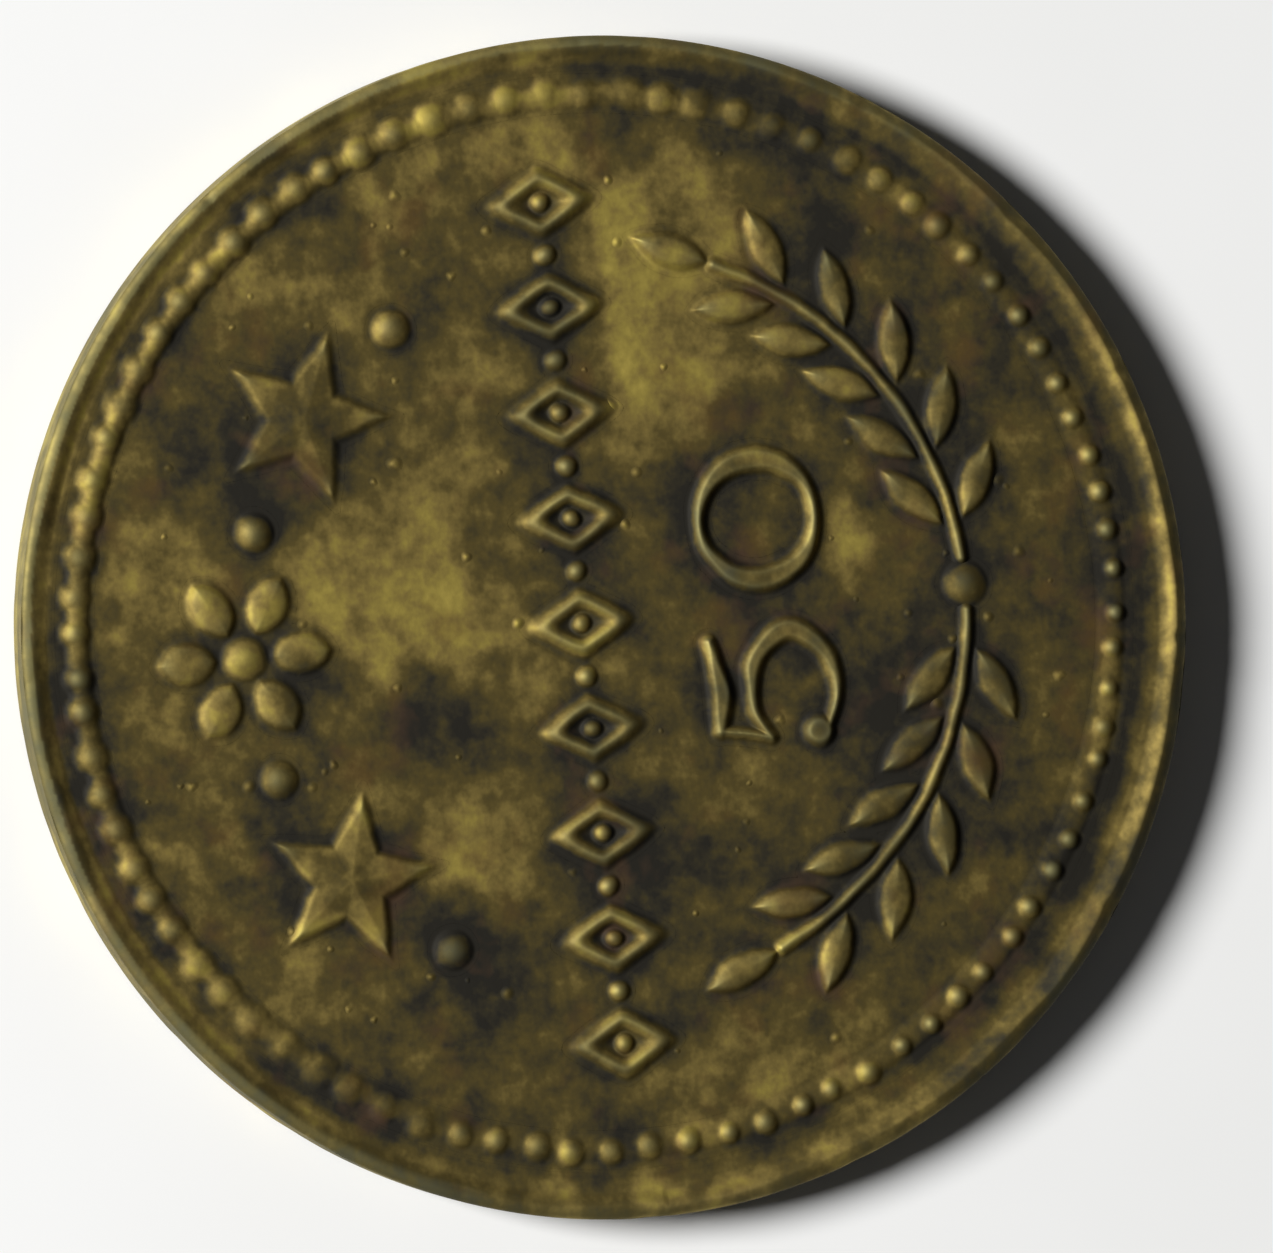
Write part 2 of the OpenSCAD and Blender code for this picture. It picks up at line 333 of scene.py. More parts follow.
def die_circle(angle, radius):
    """Distance from the token's middle to a circle about the die's middle, in each direction."""
    along = DIE_X * np.cos(angle) + DIE_Y * np.sin(angle)
    return along + np.sqrt(radius ** 2 - DIE_X ** 2 - DIE_Y ** 2 + along ** 2)


def towards(angle, at):
    """Share of a direction: 1 at that angle, falling as a cosine to 0 opposite it."""
    return 0.5 + 0.5 * np.cos(angle - at)


def rim_section(angle, level, seed):
    """Radii and heights of the lip in each direction: a worn roll, a crest, a slope, a thin skirt and a root.

    The roll is a quarter of a superellipse, round at the top of the design and close to a bevel at its
    bottom. The slope is a gentle dish and then a smoothstep, so that it is steepest near the crest; where the
    lip is narrow it is one smoothstep. Nicks are bell-shaped bites out of the roll."""
    random = np.random.default_rng(seed)
    nick_at = random.uniform(-math.pi, math.pi, NICKS)
    nick_w, nick_d = random.uniform(*NICK_W, NICKS), random.uniform(*NICK_D, NICKS)
    off = (angle - nick_at + math.pi) % (2 * math.pi) - math.pi
    nick = (nick_d * np.exp(-(off / nick_w) ** 2)).sum(1)[:, None]
    around = angle * TOKEN_R
    narrow = towards(angle, DIE_SIDE)
    wave = lattice_noise(around, 0 * around, CREST_WAVE_L, seed + 1)
    crest = RIM_H * (1 - NARROW_LOWER * narrow) - CREST_WAVE * (1 + wave) - NICK_LOWERS * nick
    wave = lattice_noise(around, 0 * around, ROLL_WAVE_L, seed + 2)
    roll = RIM_ROLL * (1 - NARROW_ROLL_LESS * narrow + ROLL_WAVE * wave) + nick
    outer = edge_radius(angle, level)
    foot = die_circle(angle, RIM_FOOT_R)
    turn = np.linspace(0, math.pi / 2, ROLL_STEPS)
    power = ROLL_POWER + BEVEL_MORE * towards(angle, BOTTOM_SIDE) ** 3
    down = np.linspace(1, 0, SLOPE_STEPS)[1:]
    climb = RIM_DISH * down * down + (1 - RIM_DISH) * smoothstep(np.clip((down - 0.5) / 0.5, 0, 1))
    climb = climb + narrow * (smoothstep(down) - climb)
    radii = [outer - roll + (roll - NICK_CUTS_IN * nick) * np.cos(turn) ** power,
             foot + (outer - roll - foot) * down,
             foot - np.array(SKIRT_W),
             outer - ROOT_IN]
    heights = [crest * np.sin(turn) ** power,
               crest * climb + SKIN_LIFT,
               0 * foot + np.array(SKIRT_H),
               0 * foot - SKIN_ROOT]
    return np.hstack(radii), np.hstack(heights)


def rim_surface(face, seed):
    """Lip on one face: its section in every direction, upright or hanging, on that face's uneven field."""
    level, facing, field_seed = face
    angle = np.linspace(-math.pi, math.pi, RIM_STEPS, endpoint=False)[:, None]
    r, h = rim_section(angle, level, seed)
    x, y = r * np.cos(angle), r * np.sin(angle)
    inside = np.clip((TOKEN_R - EDGE_LEVEL - r) / EDGE_FADE, 0, 1)
    z = level + facing * (h + inside * field_swell(x, y, field_seed))
    loop = np.stack([x, y, z], -1)
    return ring_solid(loop if facing > 0 else loop[:, ::-1])


struck(new_piece("obverse_rim_lip", *rim_surface(OBVERSE, OBVERSE_RIM_SEED), brass), "worn_brass",
       "obverse_rim")
struck(new_piece("reverse_rim_lip", *rim_surface(REVERSE, REVERSE_RIM_SEED), brass), "worn_brass",
       "reverse_rim")


# Bead circles: a ring of round beads inside each rim, of the same brass.
# Each bead was punched into the die by hand, so they wander a little. They run together where the strike was
# hard, and are low and wide where it was soft.

OBVERSE_BEAD_SEED, REVERSE_BEAD_SEED = 71, 81
BEAD_CIRCLE_R = 10.71
BEAD_D = 0.64
BEAD_FOOT, BEAD_POWER = 0.08, 1.3
BEAD_H, BEAD_MOST_H = 0.165, 0.183
BEAD_COUNT = 84
BEAD_SHIFT = 0.07
BEAD_DRIFT = 0.028
BEAD_SIZES = (0.84, 1.12)
BEAD_HEIGHTS = (0.68, 1.0)
HARD_SIDE = math.radians(66)
SLOPE_SIDE = math.radians(-135)
SOFT_SIDES = ((math.radians(-13), 0.6), (math.radians(142), 0.45))
BEAD_W, HARD_WIDER, BOTTOM_LESS, SOFT_WIDER = 0.74, 0.26, 0.17, 0.25
SOFT_LOWER = 0.5
BANK_W, SLOPE_IN, SLOPE_OUT = 0.27, 0.15, -0.05
BANK_H, HARD_BANK, SLOPE_BANK = 0.02, 0.085, 0.022
BANK_SHIFT = 0.05
BANK_UNDER, BANK_POWER = 0.3, 1.2
BEAD_STEPS = 1680
BEAD_ROWS = 24
RING_HALF_W, RING_FADE_FROM, RING_FADE = 0.47, 0.46, 0.16
SKIN_BORDER = 0.14


def bead_relief(x, y, seed):
    """Height of the bead ring at points about the die's middle: the nearest bead's dome over a low bank.

    A dome is a paraboloid raised to a power so that its foot flows into the field, and the bank has the same
    kind of section. The bank swells on the hard side and reaches further in on another. All fades out by a
    smoothstep at the skin's borders."""
    random = np.random.default_rng(seed)
    step = 2 * math.pi / BEAD_COUNT
    shift = random.normal(0, BEAD_SHIFT, BEAD_COUNT) * step
    drift = random.normal(0, BEAD_DRIFT, BEAD_COUNT)
    size = random.uniform(*BEAD_SIZES, BEAD_COUNT)
    tall = random.uniform(*BEAD_HEIGHTS, BEAD_COUNT)
    angle, r = np.arctan2(y, x), np.hypot(x, y)
    which = np.round(angle / step).astype(int) % BEAD_COUNT
    off = (angle - which * step - shift[which] + math.pi) % (2 * math.pi) - math.pi
    hard, slope = towards(angle, HARD_SIDE), towards(angle, SLOPE_SIDE) ** 3
    soft = sum(np.exp((np.cos(angle - at) - 1) * 2 / width ** 2) for at, width in SOFT_SIDES)
    small = towards(angle, BOTTOM_SIDE) ** 3
    wide = BEAD_W + HARD_WIDER * hard ** 3 - BOTTOM_LESS * small + SOFT_WIDER * soft
    radius = BEAD_D / 2 * size[which] * wide + BEAD_FOOT
    reach = np.hypot(off * r, r - BEAD_CIRCLE_R - drift[which]) / radius
    dome = BEAD_H * tall[which] * (1 - SOFT_LOWER * soft) * np.clip(1 - reach ** 2, 0, 1) ** BEAD_POWER
    bank_r = BEAD_CIRCLE_R - BANK_SHIFT * hard
    bank_w = BANK_W + np.where(r < bank_r, SLOPE_IN, SLOPE_OUT) * slope
    bank_h = BANK_H + HARD_BANK * hard ** 3 + SLOPE_BANK * slope
    bank = bank_h * np.clip(1 - ((r - bank_r) / bank_w) ** 2, 0, 1) ** BANK_POWER
    fade = smoothstep(np.clip((RING_FADE_FROM - np.abs(r - BEAD_CIRCLE_R)) / RING_FADE, 0, 1))
    relief = np.maximum(dome, bank) + BANK_UNDER * np.minimum(dome, bank)
    return np.minimum(relief * fade, BEAD_MOST_H)


def skin_lift(beyond):
    """Height of a skin over the field: a hair above it, sinking to a hair below it across its border."""
    return SKIN_LIFT * (1 - 2 * np.clip(beyond / SKIN_BORDER, 0, 1))


def bead_surface(face, seed):
    """Ring of beads as one skin: rows across the ring carried round the die's middle, closed underneath."""
    level, facing, field_seed = face
    angle = np.linspace(-math.pi, math.pi, BEAD_STEPS, endpoint=False)[:, None]
    across = np.linspace(RING_HALF_W, -RING_HALF_W, BEAD_ROWS)
    x, y = (BEAD_CIRCLE_R + across) * np.cos(angle), (BEAD_CIRCLE_R + across) * np.sin(angle)
    h = bead_relief(x, y, seed) + skin_lift(np.abs(across) - RING_HALF_W + SKIN_BORDER)
    h = h + field_swell(x + DIE_X, y + DIE_Y, field_seed)
    top = np.stack([x + DIE_X, y + DIE_Y, level + facing * h], -1)
    base = top[:, [-1, 0]].copy()
    base[..., 2] = level - facing * SKIN_ROOT
    loop = np.concatenate([top, base], 1)
    return ring_solid(loop if facing > 0 else loop[:, ::-1])


struck(new_piece("obverse_bead_ring", *bead_surface(OBVERSE, OBVERSE_BEAD_SEED), brass), "worn_brass",
       "obverse_beads")
struck(new_piece("reverse_bead_ring", *bead_surface(REVERSE, REVERSE_BEAD_SEED), brass), "worn_brass",
       "reverse_beads")


# Stars: two five-pointed stars on the upper arc, each from one punch, of the same brass.
# Ridges run from every point to the middle; the edges stand up steeply and wear has rounded them.

RELIEF_H = 0.185
RELIEF_CELL = 0.032
RELIEF_FOOT, RELIEF_CROWN = 0.08, 0.15
RELIEF_REACH = 0.24
WANDER, WANDER_L, WANDER_SEED = 0.025, 0.5, 45
FILL_LESS, FILL_L, FILL_SEED = 0.12, 1.5, 47
STAR_R = 1.8
STAR_WAIST_R = 0.85
STAR_POINTS = 5
STAR_EDGE_SHARE = 0.55
STAR_TIP_OUT, STAR_TIP_L = 0.1, 0.3
STAR_CIRCLE_R = 7.29
STAR_STEP = math.radians(40.0)
PUNCH_HALF_W = 2.2
obverse_relief = []


def struck_edge(distance, height, crown=RELIEF_CROWN):
    """Height at a signed distance from a punch's outline: an S-curve from just outside to just inside."""
    return height * smoothstep(np.clip((RELIEF_FOOT - distance) / (RELIEF_FOOT + crown), 0, 1))


def relief_solid(box, shape):
    """Struck skin over a box about the die's middle, kept where the ornament or its foot is, closed below.

    The top is the field's swell plus the ornament's height. Cells further out than the foot are dropped,
    and walls go down to a level base along every edge between a kept and a dropped cell."""
    x0, x1, y0, y1 = box
    x, y = np.meshgrid(np.arange(x0, x1, RELIEF_CELL), np.arange(y0, y1, RELIEF_CELL), indexing="ij")
    height, distance = shape(x, y)
    height = height + skin_lift(distance - RELIEF_FOOT) + field_swell(x + DIE_X, y + DIE_Y, OBVERSE_SEED)
    top = np.stack([x + DIE_X, y + DIE_Y, OBVERSE_Z + height], -1)
    base = top.copy()
    base[..., 2] = OBVERSE_Z - SKIN_ROOT
    number = np.arange(x.size).reshape(x.shape)
    near = distance < RELIEF_REACH
    keep = near[:-1, :-1] | near[1:, :-1] | near[1:, 1:] | near[:-1, 1:]
    upper = grid_faces(number)[keep.ravel()]
    faces = [upper, upper[:, ::-1] + x.size]
    padded = np.pad(keep, 1)
    for enters, first, second in (
            (padded[1:, 1:-1] & ~padded[:-1, 1:-1], number[:, 1:], number[:, :-1]),
            (~padded[1:, 1:-1] & padded[:-1, 1:-1], number[:, :-1], number[:, 1:]),
            (padded[1:-1, 1:] & ~padded[1:-1, :-1], number[:-1, :], number[1:, :]),
            (~padded[1:-1, 1:] & padded[1:-1, :-1], number[1:, :], number[:-1, :])):
        a, b = first[enters], second[enters]
        faces.append(np.stack([b, a, a + x.size, b + x.size], -1)[:, ::-1])
    used, packed = np.unique(np.concatenate(faces), return_inverse=True)
    points = np.vstack([top.reshape(-1, 3), base.reshape(-1, 3)])[used]
    return points, [packed.reshape(-1, 4)]


def strike(name, node, box, shape):
    """Makes one ornament of the obverse and notes its relief for the ageing.

    The ornament is read a little to one side or the other by noise, as hand-cut dies wander, and it is
    lower in places where the metal did not fill the die."""
    def cut(x, y):
        wander_x = WANDER * lattice_noise(x, y, WANDER_L, WANDER_SEED)
        wander_y = WANDER * lattice_noise(x, y, WANDER_L, WANDER_SEED + 1)
        height, distance = shape(x + wander_x, y + wander_y)
        return height * (1 - FILL_LESS + FILL_LESS * lattice_noise(x, y, FILL_L, FILL_SEED)), distance

    obverse_relief.append((box, cut))
    struck(new_piece(name, *relief_solid(box, cut), brass), "worn_brass", *([node] if node else []))


def box_round(x, y, half_w):
    """Square box about a place on the obverse."""
    return x - half_w, x + half_w, y - half_w, y + half_w


def star_shape(turn):
    """Star turned that far to the right of the top: folded into one half point, whose edge is a line.

    Its height is a steep edge and a slope that rises evenly from the edge to the middle."""
    middle_x, middle_y = STAR_CIRCLE_R * math.sin(turn), STAR_CIRCLE_R * math.cos(turn)
    half = math.pi / STAR_POINTS
    notch = STAR_WAIST_R * np.array([math.cos(half), math.sin(half)])
    normal = np.array([notch[1], STAR_R - notch[0]]) / math.hypot(notch[1], STAR_R - notch[0])

    def shape(x, y):
        angle = np.arctan2(x - middle_x, y - middle_y) - turn
        angle = np.abs((angle + half) % (2 * half) - half)
        r = np.hypot(x - middle_x, y - middle_y)
        distance = normal[0] * (r * np.cos(angle) - STAR_R) + normal[1] * r * np.sin(angle)
        rise = np.clip(-distance / (normal[0] * STAR_R), 0, 1)
        tip = np.clip((STAR_R + STAR_TIP_OUT - r) / STAR_TIP_L, 0, 1)
        height = struck_edge(distance, STAR_EDGE_SHARE * RELIEF_H) * tip
        height = height + (1 - STAR_EDGE_SHARE) * RELIEF_H * rise
        return height, np.maximum(distance, r - STAR_R - STAR_TIP_OUT)

    return box_round(middle_x, middle_y, PUNCH_HALF_W), shape


strike("left_star_punch", "left_star", *star_shape(-STAR_STEP))
strike("right_star_punch", "right_star", *star_shape(STAR_STEP))


# Rosette: six petals round a pellet at the top of the design, of the same brass.
# One petal punch was turned and struck six times, so each has the same ridge along it.

PETALS = 6
PETAL_L = 1.27
PETAL_W = 0.9
LEAF_EDGE_SHARE = 0.4
ROSETTE_EYE_D = 0.9
PELLET_FOOT, PELLET_POWER = 0.05, 1.2


def leaf_relief(x, y, foot_x, foot_y, turn, length, width):
    """Leaf from its foot, turned from +Y towards -X: two circular sides that meet in points.

    Its height is a steep edge and a round ridge, a parabola of the way in from the edge."""
    along = -(x - foot_x) * math.sin(turn) + (y - foot_y) * math.cos(turn) - length / 2
    across = np.abs((x - foot_x) * math.cos(turn) + (y - foot_y) * math.sin(turn))
    side_r = (length ** 2 + width ** 2) / (4 * width)
    distance = np.hypot(along, across + side_r - width / 2) - side_r
    rise = np.clip(-distance / (width / 2), 0, 1)
    ridge = (1 - LEAF_EDGE_SHARE) * RELIEF_H * rise * (2 - rise)
    return struck_edge(distance, LEAF_EDGE_SHARE * RELIEF_H) + ridge, distance


def pellet_relief(x, y, middle_x, middle_y, diameter, height=RELIEF_H):
    """Round pellet: a paraboloid raised to a power so that its foot flows into the field."""
    r = np.hypot(x - middle_x, y - middle_y)
    dome = np.clip(1 - (r / (diameter / 2 + PELLET_FOOT)) ** 2, 0, 1) ** PELLET_POWER
    return height * dome, r - diameter / 2


def together(parts):
    """Joins reliefs: the highest surface and the least distance."""
    heights, distances = zip(*parts)
    return np.maximum.reduce(heights), np.minimum.reduce(distances)


def rosette_shape(x, y):
    """Petals at equal turns with their points outwards, and the pellet between their inner points."""
    turns = np.arange(PETALS) * 2 * math.pi / PETALS
    inner = STAR_R - PETAL_L
    return together([pellet_relief(x, y, 0.0, STAR_CIRCLE_R, ROSETTE_EYE_D)]
                    + [leaf_relief(x, y, -inner * math.sin(turn), STAR_CIRCLE_R + inner * math.cos(turn),
                                   turn, PETAL_L, PETAL_W) for turn in turns])


strike("top_rosette_punch", "top_rosette", box_round(0.0, STAR_CIRCLE_R, PUNCH_HALF_W), rosette_shape)


# Pellets: round stops between the ornaments of the upper arc, and one where the sprays meet.
# They are single blows of a round punch in the same brass.

STOP_D = 0.78
STOP_STEPS = (-1.5, -0.5, 0.5, 1.5)
STOPS_BOX = (-7.6, 7.6, -8.5, 8.0)
KNOT_D = 0.9
STEM_R = 7.62


def stops_shape(x, y):
    """Four pellets half a step either side of the stars, and the larger one at the bottom."""
    return together([pellet_relief(x, y, STAR_CIRCLE_R * math.sin(k * STAR_STEP),
                                   STAR_CIRCLE_R * math.cos(k * STAR_STEP), STOP_D) for k in STOP_STEPS]
                    + [pellet_relief(x, y, 0.0, -STEM_R, KNOT_D)])


strike("stop_pellet_punches", "stop_pellets", STOPS_BOX, stops_shape)


# Lozenge band: nine lozenges in a raised line across the middle, each round a pellet, with pellets between.
# The line is an even engraved stroke in the die, so it stands up round-topped in the same brass.

LOZENGES_EACH_SIDE = 4
LOZENGE_HALF_W = 0.75
LOZENGE_HALF_H = 1.3
LOZENGE_LINE = 0.38
LOZENGE_POINT_BLUNT = 0.18
LOZENGE_SIDE_BLUNT = 0.08
BAND_Y = 0.35
BAND_PITCH = 2.14
BAND_PELLET_D = 0.4
BAND_PELLET_H = 0.8 * RELIEF_H
BAND_BOX = (-9.6, 9.6, BAND_Y - 1.7, BAND_Y + 1.7)


def band_shape(x, y):
    """Folds the band into one lozenge: its line is the set of points near an inset of the rhombus.

    Hyperbolas in place of straight folds blunt its corners, the points more than the sides."""
    limit = LOZENGES_EACH_SIDE
    u = x - BAND_PITCH * np.clip(np.round(x / BAND_PITCH), -limit, limit)
    v = y - BAND_Y
    side = math.hypot(LOZENGE_HALF_W, LOZENGE_HALF_H)
    outward = np.clip(np.abs(v) / LOZENGE_HALF_H, 0, 1) ** 2
    blunt = LOZENGE_SIDE_BLUNT + (LOZENGE_POINT_BLUNT - LOZENGE_SIDE_BLUNT) * outward
    edge = (LOZENGE_HALF_H * np.hypot(u, blunt) + LOZENGE_HALF_W * np.hypot(v, LOZENGE_SIDE_BLUNT)
            - LOZENGE_HALF_W * LOZENGE_HALF_H) / side
    line = np.abs(edge + LOZENGE_LINE / 2) - LOZENGE_LINE / 2
    between = BAND_PITCH * np.clip(np.floor(x / BAND_PITCH) + 0.5, 0.5 - limit, limit - 0.5)
    return together([(struck_edge(line, RELIEF_H, LOZENGE_LINE / 2), line),
                     pellet_relief(u, v, 0.0, 0.0, BAND_PELLET_D, BAND_PELLET_H),
                     pellet_relief(x - between, v, 0.0, 0.0, BAND_PELLET_D, BAND_PELLET_H)])


strike("lozenge_band_line", "lozenge_band", BAND_BOX, band_shape)


# Laurel sprays: two leafy stems along the lower arc, of the same brass.
# The stem was cut with a graver and each leaf is one blow of a leaf punch, in pairs and one at the end.

LEAF_L = 1.7
LEAF_W = 0.72
LEAF_LEAN = math.radians(34)
LEAF_PAIRS = 5
LEAF_STEP = 1.502 / STEM_R
STEM_W = 0.26
STEM_H = 0.8 * RELIEF_H
STEM_CROWN = 0.12
STEM_GAP = 0.08
STEM_START = (KNOT_D / 2 + STEM_GAP) / STEM_R
SPRAY_FROM_X, SPRAY_TO_X = 0.2, 9.3
SPRAY_FROM_Y, SPRAY_TO_Y = -9.3, -0.9


def spray_shape(hand):
    """Spray that grows to the right for hand 1 or to the left for hand -1, drawn for the right and mirrored.

    The stem is an arc about the die's middle, and leaves stand off it in pairs at equal steps."""
    stem_end = STEM_START + (LEAF_PAIRS + 0.5) * LEAF_STEP

    def shape(x, y):
        x = hand * x
        sweep = np.clip(np.arctan2(x, -y), STEM_START, stem_end)
        stem = np.hypot(x - STEM_R * np.sin(sweep), y + STEM_R * np.cos(sweep)) - STEM_W / 2
        parts = [(struck_edge(stem, STEM_H, STEM_CROWN), stem)]
        for k in range(LEAF_PAIRS):
            at = STEM_START + (k + 0.5) * LEAF_STEP
            for side in (-1, 1):
                r = STEM_R + side * (STEM_W / 2 + STEM_GAP)
                parts.append(leaf_relief(x, y, r * math.sin(at), -r * math.cos(at),
                                         at - math.pi / 2 - side * LEAF_LEAN, LEAF_L, LEAF_W))
        foot_x = STEM_R * math.sin(stem_end) + STEM_GAP * math.cos(stem_end)
        foot_y = -STEM_R * math.cos(stem_end) + STEM_GAP * math.sin(stem_end)
        parts.append(leaf_relief(x, y, foot_x, foot_y, stem_end - math.pi / 2, LEAF_L, LEAF_W))
        return together(parts)

    across = (SPRAY_FROM_X, SPRAY_TO_X) if hand > 0 else (-SPRAY_TO_X, -SPRAY_FROM_X)
    return (*across, SPRAY_FROM_Y, SPRAY_TO_Y), shape


strike("right_spray_leaves", "right_spray", *spray_shape(1))
strike("left_spray_leaves", "left_spray", *spray_shape(-1))


# Value numeral: a plain two-figure value between the band and the sprays, of the same brass.
# The figures were cut with broad and fine strokes, and the first ends in a round ball.
# A stroke is a number of samples and places in mm from the figure's middle, each with the pen's half width.

FIGURE_X, FIGURE_Y = 1.75, -3.45
FIVE_FLAG = 50, [[-0.72, 1.16, 0.16], [0.1, 1.08, 0.24], [1.1, 1.26, 0.13]]
FIVE_STEM = 36, [[-0.72, 1.16, 0.13], [-0.84, 0.62, 0.12], [-0.95, 0.12, 0.13]]
FIVE_BOWL = 170, [[-0.95, 0.12, 0.13], [-0.3, 0.46, 0.15], [0.7, 0.3, 0.22], [1.2, -0.42, 0.27],
                  [0.7, -1.12, 0.2], [-0.2, -1.3, 0.14], [-0.92, -1.0, 0.14]]
BALL_X, BALL_Y, BALL_R = -0.9, -0.86, 0.33
NOUGHT_HALF_W, NOUGHT_HALF_H = 1.22, 1.2
NOUGHT_PEN, NOUGHT_SWELL = 0.15, 0.13
NOUGHT_SAMPLES = 220
NUMERAL_BOX = (-3.6, 3.7, FIGURE_Y - 1.9, FIGURE_Y + 1.9)


def drawn_stroke(samples, points):
    """Smooth pen path through points of x, y and half width, as a Catmull-Rom spline."""
    p = np.array([points[0]] + points + [points[-1]])
    t = np.linspace(0, len(points) - 1.0001, samples)
    i, s = t.astype(int), (t % 1)[:, None]
    a, b, c, d = p[i], p[i + 1], p[i + 2], p[i + 3]
    return (b + 0.5 * s * (c - a + s * (2 * a - 5 * b + 4 * c - d + s * (3 * (b - c) + d - a)))).T


def pen_line(x, y, path_x, path_y, half_w):
    """Distance to a line drawn with a round pen: to its nearest sample, less the pen's half width there."""
    nearest = np.full(np.shape(x), np.inf)
    for at_x, at_y, half in np.nditer(np.broadcast_arrays(path_x, path_y, half_w)):
        nearest = np.minimum(nearest, np.hypot(x - at_x, y - at_y) - half)
    return nearest


def numeral_shape(x, y):
    """Five and nought: three strokes with a ball at the bowl's end, and a ring that swells at its sides."""
    v = y - FIGURE_Y
    five_x, nought_x = x + FIGURE_X, x - FIGURE_X
    strokes = [pen_line(five_x, v, *drawn_stroke(*stroke)) for stroke in (FIVE_FLAG, FIVE_STEM, FIVE_BOWL)]
    ball = np.hypot(five_x - BALL_X, v - BALL_Y) - BALL_R
    turn = np.linspace(0, 2 * math.pi, NOUGHT_SAMPLES, endpoint=False)
    ring = pen_line(nought_x, v, NOUGHT_HALF_W * np.cos(turn), NOUGHT_HALF_H * np.sin(turn),
                    NOUGHT_PEN + NOUGHT_SWELL * np.cos(turn) ** 2)
    distance = np.minimum.reduce([*strokes, ball, ring])
    return struck_edge(distance, RELIEF_H), distance


strike("value_numeral", None, NUMERAL_BOX, numeral_shape)


# Pimples: small raised dots all over the obverse field, of the same brass.
# Rust pits in the steel die left them; each is a low dome that can touch an ornament.

PIMPLES = 85
PIMPLE_SIDES = 16
PIMPLE_RINGS = 6
PIMPLE_SEED = 91
PIMPLE_FIELD_R = 9.9
PIMPLE_LEAST_R, PIMPLE_MORE_R = 0.08, 0.11
PIMPLE_STEEP = (0.14, 0.26)
PIMPLE_LOBE = 0.13
PIMPLE_SUNK = 0.001
PIMPLE_ROOT = 0.04


def pimple_surface():
    """Low domes at random places: rings of points round each middle, whose height is a cosine of the radius.

    Their outline is a circle with two and three lobes of random depth."""
    random = np.random.default_rng(PIMPLE_SEED)
    spread = PIMPLE_FIELD_R * np.sqrt(random.uniform(0, 1, PIMPLES))
    angle = random.uniform(0, 2 * math.pi, PIMPLES)
    middle_x, middle_y = spread * np.cos(angle) + DIE_X, spread * np.sin(angle) + DIE_Y
    size = PIMPLE_LEAST_R + PIMPLE_MORE_R * random.uniform(0, 1, PIMPLES) ** 2
    tall = size * random.uniform(*PIMPLE_STEEP, PIMPLES)
    share = np.linspace(1, 0, PIMPLE_RINGS + 1)[:-1]
    turn = np.arange(PIMPLE_SIDES) * 2 * math.pi / PIMPLE_SIDES
    lobe = random.uniform(0, PIMPLE_LOBE, (PIMPLES, 2, 1)) * np.cos(
        np.array([[2], [3]]) * (turn - random.uniform(0, 2 * math.pi, (PIMPLES, 2, 1))))
    reach = size[:, None, None] * (1 + lobe.sum(1))[:, None] * share[:, None]
    x = middle_x[:, None, None] + reach * np.cos(turn)
    y = middle_y[:, None, None] + reach * np.sin(turn)
    dome = tall[:, None, None] * (0.5 + 0.5 * np.cos(math.pi * share))[:, None]
    z = OBVERSE_Z + field_swell(x, y, OBVERSE_SEED) + dome - PIMPLE_SUNK
    peak_z = OBVERSE_Z + field_swell(middle_x, middle_y, OBVERSE_SEED) + tall
    rings = np.stack([x, y, z], -1)
    base = rings[:, :1].copy()
    peak = np.stack([middle_x, middle_y, peak_z], -1)[:, None]
    under = peak.copy()
    base[..., 2] = under[..., 2] = OBVERSE_Z - PIMPLE_ROOT
    rings = np.concatenate([base, rings], 1)
    each = (PIMPLE_RINGS + 1) * PIMPLE_SIDES + 2
    points = np.concatenate([rings.reshape(PIMPLES, -1, 3), peak, under], 1).reshape(-1, 3)
    start = (np.arange(PIMPLES) * each)[:, None, None]
    ring = np.arange((PIMPLE_RINGS + 1) * PIMPLE_SIDES).reshape(PIMPLE_RINGS + 1, PIMPLE_SIDES)
    sides = grid_faces(np.hstack([ring, ring[:, :1]]))[:, ::-1]
    last, first, follow = ring[-1], ring[0], np.roll(np.arange(PIMPLE_SIDES), -1)
    cap = np.stack([last, last[follow], np.full(PIMPLE_SIDES, each - 2)], -1)
    foot = np.stack([first[follow], first, np.full(PIMPLE_SIDES, each - 1)], -1)
    return points, [(start + block).reshape(-1, block.shape[1]) for block in (sides, cap, foot)]


struck(new_piece("die_rust_pimples", *pimple_surface(), brass), "field_brass")


# Age: what long use has left on the token, with painted light mixed in. Hollows and feet of the relief hold a
# dark film, high places are rubbed. Both come from the height of each face against its own blurred height,
# and are kept on every point.
# Along the rim the film also carries painted shade and painted highlight, and the pale colour of rubbed
# places is partly a painted highlight.
# A patch is x, y, radius and depth; an arc is a direction and spread in degrees, a radius, width and depth.

MAP_CELL = 0.05
MAP_HALF = 12.6
CLEAN_PATCHES = [(0.9, 4.0, 1.7, 0.7), (8.4, -2.5, 2.0, 0.45), (5.9, -1.6, 1.5, 0.42), (0.9, -5.3, 1.0, 0.35),
                 (1.1, 8.9, 0.8, 0.35), (-4.2, 3.1, 1.2, 0.35), (3.2, -1.2, 0.9, 0.2), (-11.2, 1.9, 1.4, 0.3),
                 (-11.3, -0.9, 1.6, 0.4), (-10.6, -4.4, 1.8, 0.22), (-9.4, -6.8, 1.6, 0.1)]
DARK_PATCHES = [(-1.9, 3.5, 0.8, 0.5), (-5.4, -0.7, 1.6, 0.3), (-2.9, -5.9, 1.2, 0.3), (-6.7, 3.3, 1.5, 0.3),
                (2.9, 6.9, 1.3, 0.35), (2.5, -7.5, 1.6, 0.25), (-3.5, 7.6, 1.4, 0.3), (6.0, 4.5, 1.6, 0.2),
                (2.8, -3.4, 1.5, 0.25), (-4.7, 5.8, 1.2, 0.15), (-4.2, 0.6, 1.2, 0.2), (-5.8, -4.7, 1.5, 0.1)]
